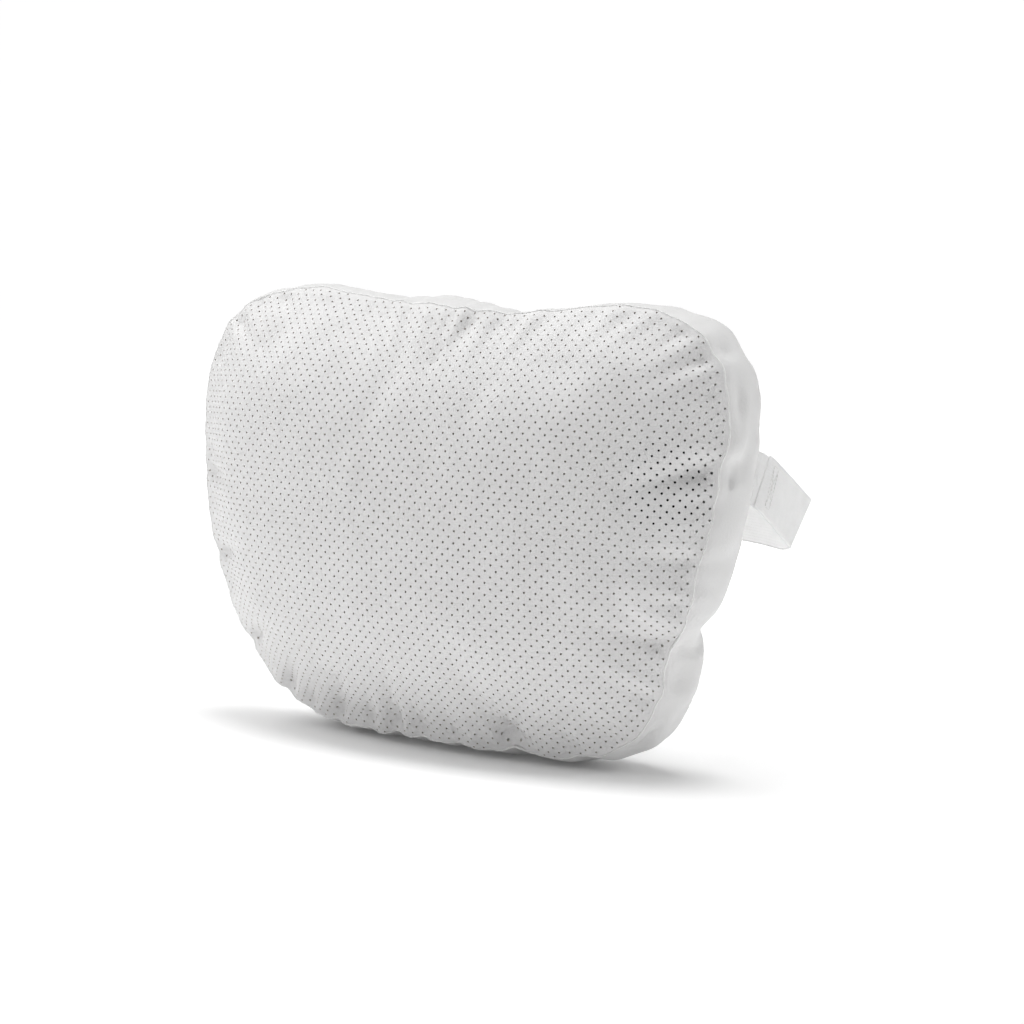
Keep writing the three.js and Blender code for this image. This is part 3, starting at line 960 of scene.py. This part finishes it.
def inner_form(name, depth, material, columns=160):
    """The whole pillow's form again at a depth below the cover, as one closed mesh."""
    theta = round_turn(columns)[:, None]
    rho = eased(26)[None, :]
    v = np.linspace(-0.75, 0.75, 7)[None, :]
    loops = []
    for shape, b in ((face_shape, rho), (gusset_shape, v), (back_shape, rho[:, ::-1])):
        points, normal = shape(theta + 0 * b, b + 0 * theta)
        points = points - normal * depth
        points[..., 2] = np.maximum(points[..., 2], depth)
        loops.append(points)
    loops[0], loops[2] = loops[0][:, :-2], loops[2][:, 2:]
    return loop_mesh(name, np.concatenate(loops, axis=1), material, closed=True)


def cloth_material(name, colour, scale):
    nodes = Nodes(name, 0.9, (*colour, 1))
    nodes.bumped(nodes.noise(scale, 4), 0.0003)
    clouds = nodes.clouds(scale / 20, 3)
    darker = tuple(0.92 * c for c in colour)
    nodes.drive("Base Color", nodes.mixed(clouds, darker, colour))
    return nodes.material


def add_inside():
    woven = cloth_material("liner_cloth", (0.85, 0.84, 0.82), 1500)
    cloth = inner_form("inner_cushion_cloth", 6 * MM, woven)
    finish_padded(cloth, "liner_cloth", "liner_front", "liner_back", fill=0.85)
    fluffy = cloth_material("polyester_fibre", (0.9, 0.9, 0.88), 400)
    fibre = inner_form("fibre_filling", 9 * MM, fluffy)
    finish_padded(fibre, "polyester_fibre", "fibre_fill", fill=0.8)


add_inside()

# ---- seam edges

def seam_edge(name, v, node, columns=1100):
    """The raw edges of the two layers that stand up along a seam, pressed into one lip."""
    theta = round_turn(columns)
    points, _ = gusset_shape(theta, np.full(columns, float(v)))
    away = np.array([0, np.sign(v), 0])
    out = out_side(theta) * 0.85 + away * 0.5
    out /= np.linalg.norm(out, axis=1, keepdims=True)
    across = np.cross(out, np.cross(out_side(theta), away))
    ragged = 0.16 * np.sin(211 * theta) * np.sin(37 * theta + 1) + 0.1 * np.sin(463 * theta + 2)
    section = [(-1.2, 0.38), (0.2, 0.38), (0.42, 0.22), (0.42, -0.22), (0.2, -0.38), (-1.2, -0.38)]
    loops = []
    for up, side in section:
        height = (up + ragged * (up > 0)) * MM
        loops.append(points + out * height[:, None] + across * side * MM)
    loops = np.stack(loops + loops[:1], axis=1)
    loops[..., 2] = np.maximum(loops[..., 2], 0.2 * MM)
    edge = loop_mesh(name, loops, RAW_EDGE, closed=True)
    stands_for(edge, "pillow", "thread", node)


RAW_EDGE = cloth_material("raw_edge", (0.92, 0.918, 0.912), 2400)
seam_edge("front_seam_edge", -1, "front_seam_thread")
seam_edge("back_seam_edge", 1, "back_seam_thread")

LAYER = 0.4 * MM  # below this height the cover flattens against the floor


def flatten_on_floor(*names):
    """Presses what would dip through the floor into a thin layer just above it."""
    for name in names:
        mesh = bpy.data.objects[name].data
        points = mesh_points(mesh)
        height = points[:, 2]
        pressed = LAYER * np.exp(np.minimum(height / LAYER - 1, 0))
        points[:, 2] = np.where(height < LAYER, pressed, height)
        mesh.vertices.foreach_set("co", points.ravel())
        mesh.update()


flatten_on_floor("perforated_face", "smooth_gusset_lower", "smooth_back_lower")
flatten_on_floor("front_seam_edge", "back_seam_edge")

# ---- stitches

THREAD = cloth_material("thread", (0.9, 0.895, 0.885), 5000)


def stitches(name, runs, radius=0.24 * MM, length=2.5 * MM, pitch=3.2 * MM):
    """Rows of sewn stitches: each run is a start, an end and the way out of the fabric."""
    points, faces = [], []
    sides = 6
    turns = np.arange(sides) * 2 * math.pi / sides
    rings = [(-0.5, 0.25), (-0.38, 0.8), (-0.12, 1.0), (0.12, 1.0), (0.38, 0.8), (0.5, 0.25)]
    for start, end, out in runs:
        start, end, out = (np.array(p, float) for p in (start, end, out))
        span = np.linalg.norm(end - start)
        ahead = (end - start) / span
        side = np.cross(ahead, out)
        for n in range(max(1, int(span / pitch))):
            middle = start + ahead * (n + 0.5) * pitch
            base = len(points)
            for along, wide in rings:
                lift = out * radius * (1.2 * math.cos(along * math.pi) - 0.5)
                centre = middle + ahead * along * length + lift
                for turn in turns:
                    spoke = side * math.cos(turn) + out * math.sin(turn)
                    points.append(centre + wide * radius * spoke)
            for ring in range(len(rings) - 1):
                for k in range(sides):
                    a, b = base + ring * sides + k, base + ring * sides + (k + 1) % sides
                    faces.append((a, b, b + sides, a + sides))
            faces.append([base + k for k in range(sides)][::-1])
            faces.append([base + sides * (len(rings) - 1) + k for k in range(sides)])
    return new_mesh(name, points, faces, [THREAD])


# ---- the zip

ZIP_FACE_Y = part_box("back_panel_upper")[1].y
STITCH_FROM_EDGE = 2.2 * MM


def zip_stitches():
    near = SLOT_HALF_WIDTH + STITCH_FROM_EDGE
    x = SLOT_HALF_LENGTH + STITCH_FROM_EDGE
    y = ZIP_FACE_Y + 0.05 * MM
    out = (0, 1, 0)
    runs = [((-x, y, JOIN_Z + side * near), (x, y, JOIN_Z + side * near), out) for side in (1, -1)]
    runs += [((end * x, y, JOIN_Z - near), (end * x, y, JOIN_Z + near), out) for end in (1, -1)]
    piece = stitches("zip_stitches", runs)
    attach(piece, "pillow")


def tape_material():
    nodes = Nodes("zip_tape", 0.85, (0.78, 0.77, 0.75, 1))
    stretch = nodes.add("ShaderNodeMapping")
    stretch.inputs["Scale"].default_value = (1, 1, 0.45)
    nodes.link(nodes.place, stretch.inputs["Vector"])
    nodes.bumped(nodes.cells(1900, randomness=0.25, place=stretch.outputs["Vector"]), 0.0003)
    tint = nodes.clouds(900, 2)
    nodes.drive("Base Color", nodes.mixed(tint, (0.72, 0.71, 0.69), (0.8, 0.79, 0.77)))
    return nodes.material


def metal_material():
    nodes = Nodes("zip_metal", 0.25, (0.62, 0.63, 0.64, 1))
    nodes.constant("Metallic", 1)
    nodes.drive("Roughness", nodes.clouds(900, 4, 0.2, 0.38))
    nodes.bumped(nodes.noise(1400, 3), 0.00004)
    return nodes.material


def coil_material():
    nodes = Nodes("zip_coil", 0.42, (0.76, 0.75, 0.73, 1))
    nodes.bumped(nodes.noise(1200, 2), 0.00006)
    nodes.drive("Roughness", nodes.clouds(500, 2, 0.36, 0.5))
    return nodes.material


def repaint(material, *nodes):
    for node in nodes:
        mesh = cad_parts[node].data
        mesh.materials.clear()
        mesh.materials.append(material)


SHARP = math.radians(35)  # the least angle of an edge that gets rounded


def softened(node, body, material, width, slot):
    """A copy of a CAD piece with its edges rounded, which stands for it."""
    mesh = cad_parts[node].data.copy()
    mesh.materials.clear()
    mesh.materials.append(material)
    piece = placed(node + "_smooth", mesh)
    shape = bmesh.new()
    shape.from_mesh(mesh)
    bmesh.ops.remove_doubles(shape, verts=shape.verts, dist=0.005 * MM)
    rounded = shape.edges.layers.float.new("bevel_weight_edge")
    for edge in shape.edges:
        if edge.is_convex and edge.calc_face_angle(0) > SHARP:
            edge[rounded] = 1
    shape.to_mesh(mesh)
    shape.free()
    bevel = piece.modifiers.new("bevel", "BEVEL")
    bevel.width, bevel.segments, bevel.limit_method = width, 3, "WEIGHT"
    replace_with_evaluated(piece)
    piece.data.polygons.foreach_set("use_smooth", np.ones(len(piece.data.polygons), bool))
    stands_for(piece, body, slot, node)


METAL_PIECES = {
    "zip_top_stop_upper": "pillow", "zip_top_stop_lower": "pillow", "zip_bottom_stop": "pillow",
    "zip_slider": "slider", "zip_pull": "pull",
}


def add_zip_looks():
    repaint(tape_material(), "zip_tape_upper", "zip_tape_lower")
    coil = coil_material()
    for side in ("upper", "lower"):
        softened(f"zip_coil_{side}", "pillow", coil, 0.18 * MM, "zip_coil")
    metal = metal_material()
    for node, body in METAL_PIECES.items():
        softened(node, body, metal, 0.22 * MM, "zip_metal")
    zip_stitches()


add_zip_looks()

# ---- the strap

STRAP_AXIS = np.array([0, 22, 158]) * MM
DROOP = math.radians(23)
SIDEWAYS = np.array([1.0, 0, 0])
BACKWARD = np.array([0, math.cos(DROOP), -math.sin(DROOP)])
ACROSS = np.array([0, math.sin(DROOP), math.cos(DROOP)])
STRAP_WIDTH = 30 * MM
STRAP_THICK = 1.6 * MM
STRAP_REACH = 66 * MM  # from the swing axis to the back run
TAB_WIDTH = 29 * MM
RIBS = 19
# The routes of the strap's right half and of the tab under it: x, distance back and rise, in mm.
HALF_ROUTE = [
    (164.5, 3.4, 2), (166.1, 8, 1.6), (166.3, 12, 1.2), (166.7, 30, 0.4), (165.8, 52, 0.2),
    (165.4, 66, 0), (160.5, 70, -0.4), (148, 70, 1.4), (120, 69, 3.6), (60, 67, 2),
]
TAB_ROUTE = [(158, -3, 2.5), (162.2, 0.5, 2.3), (163.5, 3.4, 2), (164.6, 8, 1.5), (164.6, 15, 1)]
SEWING_X = 167.05  # of the strap's outer side, where it is sewn to the tab
SEWING_BOX = [(8.5, -10), (8.5, 12.8), (14.5, 12.8), (14.5, -10)]  # distance back and rise


def even_points(line, count):
    """Points at even steps along a line, and the line's length."""
    travel = np.concatenate([[0], np.cumsum(np.linalg.norm(np.diff(line, axis=0), axis=1))])
    even = np.linspace(0, travel[-1], count)
    return np.stack([np.interp(even, travel, line[:, i]) for i in range(3)], axis=1), travel[-1]


def strap_points(route, count, round_over=7 * MM, fine=4000):
    """Even points along a smooth line through route, given as x, distance back and rise, in mm."""
    line, length = even_points(np.array(route, float) * MM, fine)
    window = np.hanning(int(fine * round_over / length) | 1)
    window /= window.sum()
    edge = len(window) // 2
    padded = np.pad(line, ((edge, edge), (0, 0)), mode="reflect", reflect_type="odd")
    smooth = np.stack([np.convolve(padded[:, i], window, "valid") for i in range(3)], axis=1)
    return even_points(smooth, count)


def ribbon(name, route, count, width=STRAP_WIDTH, slant=0.0):
    """Returns webbing along a route, with ribs on both faces and firmer edges, and its length."""
    local, length = strap_points(route, count)
    ahead = np.gradient(local, axis=0)
    ahead /= np.linalg.norm(ahead, axis=1, keepdims=True)
    up = np.array([0, 0, 1.0]) - ahead * ahead[:, 2:3]
    up /= np.linalg.norm(up, axis=1, keepdims=True)
    out = np.cross(ahead, up)
    w = np.linspace(-1, 1, RIBS * 4 + 1)
    ribs = 0.045 * np.cos(w * RIBS * math.pi) * MM
    firm = 0.12 * MM * np.exp(-((1 - np.abs(w)) / 0.05) ** 2)
    half = (STRAP_THICK / 2 + ribs + firm) * unit((1 - np.abs(w)) / 0.02 + 0.35)
    section = [(a, h) for a, h in zip(w, half)] + [(a, -h) for a, h in zip(w[::-1], half[::-1])]
    loops, uvs = [], []
    run = np.linspace(0, length, count)
    pressed = unit(np.minimum(run, length - run) / (7 * MM) + 0.3)
    near_bend = unit((np.abs(local[:, 0]) - 120 * MM) / (40 * MM))
    far_back = unit(local[:, 1] / STRAP_REACH)
    for a, h in section:
        wave = 0.25 * MM * np.sin(run / (21 * MM)) * a
        low = slant * (a - 1) / 2 * far_back
        shear = np.stack([0.8 * np.sign(local[:, 0]) * low * near_bend, low, 0 * low], axis=1)
        loops.append(local + up * a * width / 2 + out * (h * pressed + wave)[:, None] + shear)
        uvs.append(np.stack([np.full(count, a * width / 2), run], axis=1))
    loops, uvs = np.stack(loops, axis=1), np.stack(uvs, axis=1)
    size = len(section)
    world = STRAP_AXIS + loops @ np.array([SIDEWAYS, BACKWARD, ACROSS])
    faces = []
    for i in range(0, (count - 1) * size, size):
        for k in range(size):
            after = (k + 1) % size
            faces.append((i + k, i + size + k, i + size + after, i + after))
    faces.append(list(range(size)))
    faces.append([(count - 1) * size + k for k in range(size)][::-1])
    piece = new_mesh(name, world.reshape(-1, 3), faces, [WEBBING], uvs.reshape(-1, 2))
    return piece, length


def webbing_material():
    """Elastic webbing: fine weft threads across, over the ribs that the mesh itself has."""
    nodes = Nodes("elastic_webbing", 0.82)
    flat = nodes.add("ShaderNodeUVMap", uv_map="UVMap").outputs["UV"]
    weave = nodes.add("ShaderNodeTexWave", wave_type="BANDS", bands_direction="Y")
    weave.inputs["Scale"].default_value = 380
    weave.inputs["Distortion"].default_value = 1.2
    weave.inputs["Detail Scale"].default_value = 60
    nodes.link(flat, weave.inputs["Vector"])
    fuzz = nodes.noise(3800, 2, flat)
    nodes.bumped(nodes.summed(weave.outputs["Fac"], fuzz), 0.0001)
    tint = nodes.clouds(160, 3)
    nodes.drive("Base Color", nodes.mixed(tint, (0.9, 0.899, 0.897), (0.94, 0.939, 0.937)))
    nodes.constant("Sheen Weight", 0.25)
    return nodes.material


WEBBING = webbing_material()


def strap_world(x, back, rise):
    return STRAP_AXIS + (SIDEWAYS * x + BACKWARD * back + ACROSS * rise) * MM


def add_strap():
    mirrored = [(-x, back, rise) for x, back, rise in reversed(HALF_ROUTE)]
    route = HALF_ROUTE + [(0, 66, 1)] + mirrored
    band, length = ribbon("elastic_strap", route, 460, slant=4.6 * MM)
    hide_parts("strap_leg_right", "strap_leg_left", "strap_bow")
    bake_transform(band)
    for name, side in (("right", 1), ("left", -1)):
        tab = [(side * x, back, rise) for x, back, rise in TAB_ROUTE]
        root, tab_length = ribbon(f"strap_root_{name}", tab, 40, width=TAB_WIDTH)
        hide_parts(f"strap_tab_{name}")
        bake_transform(root)
        sew_strap(name, side)


def sew_strap(name, side):
    """A box stitch with a cross, through the strap and the tab under it."""
    corners = [strap_world(side * SEWING_X, back, rise) for back, rise in SEWING_BOX]
    out = (side, 0, 0)
    runs = [(corners[i], corners[(i + 1) % 4], out) for i in range(4)]
    runs += [(corners[0], corners[2], out), (corners[1], corners[3], out)]
    sewing = f"strap_sewing_{name}"
    piece = stitches(sewing, runs, radius=0.17 * MM, length=1.9 * MM, pitch=2.3 * MM)
    stands_for(piece, "strap_legs", "thread", f"strap_stitch_{name}")


add_strap()

# ---- floor and light

def add_floor():
    """A white floor that glows a little near the object and more further off: painted light, whose
    near ring lifts the lamps' shadow on the floor beside the object.
    """
    nodes = Nodes("floor", 0.8, (0.9, 0.9, 0.9, 1))
    nodes.constant("Specular IOR Level", 0)
    nodes.constant("Emission Color", (1, 1, 1, 1))
    footprint = nodes.add("ShaderNodeVectorMath", operation="MULTIPLY")
    footprint.inputs[1].default_value = (1, 1.9, 1)
    nodes.link(nodes.place, footprint.inputs[0])
    away = nodes.length(footprint.outputs["Vector"])
    near = nodes.scaled(away, 0.095, 0.17, 0.04, 0.25)
    middle = nodes.scaled(away, 0.26, 0.5, 0, -0.13)
    far = nodes.scaled(away, 0.8, 2.8, 0, 0.9)
    glow = nodes.summed(nodes.summed(near, middle), far)
    nodes.drive("Emission Strength", glow)
    corners = [(-6, -6, 0), (6, -6, 0), (6, 6, 0), (-6, 6, 0)]
    new_mesh("floor", corners, [(0, 1, 2, 3)], [nodes.material])


def add_backdrop():
    """Plain white walls that the camera sees and that give the object no light."""
    nodes = Nodes("backdrop", 1, (0, 0, 0, 1))
    nodes.constant("Emission Color", (1, 1, 1, 1))
    nodes.constant("Emission Strength", 1)
    reach = 5.9
    corners = [(x, y, z) for z in (-reach, reach) for x, y in ((-1, -1), (1, -1), (1, 1), (-1, 1))]
    corners = [(x * reach, y * reach, z) for x, y, z in corners]
    faces = [(0, 1, 5, 4), (1, 2, 6, 5), (2, 3, 7, 6), (3, 0, 4, 7), (4, 5, 6, 7)]
    wall = new_mesh("backdrop", corners, faces, [nodes.material])
    for ray in ("visible_diffuse", "visible_glossy", "visible_transmission", "visible_shadow"):
        setattr(wall, ray, False)


def add_area(name, at, towards, size, power):
    data = bpy.data.lights.new(name, "AREA")
    data.shape = "DISK"
    data.size = size
    data.energy = power
    light = placed(name, data)
    light.location = at
    light.rotation_euler = (Vector(towards) - Vector(at)).to_track_quat("-Z", "Y").to_euler()


def add_world(strength):
    world = bpy.data.worlds.new("studio")
    world.use_nodes = True
    background = world.node_tree.nodes["Background"]
    background.inputs["Color"].default_value = (1, 1, 1, 1)
    background.inputs["Strength"].default_value = strength
    bpy.context.scene.world = world


add_floor()
add_backdrop()
MIDDLE = (0, 0, 0.12)
add_area("key", (-1.45, -0.75, 1.4), MIDDLE, 2.4, 24)
add_area("back_left", (-0.9, 0.3, 1.9), MIDDLE, 0.9, 5)
add_area("top", (0.1, 0.1, 2.2), (0, 0, 0), 1.2, 26)
add_area("right", (1.7, 0.8, 0.8), (0.1, 0, 0.12), 1.4, 9.5)
add_world(0.155)
bpy.context.scene.view_settings.view_transform = "Standard"
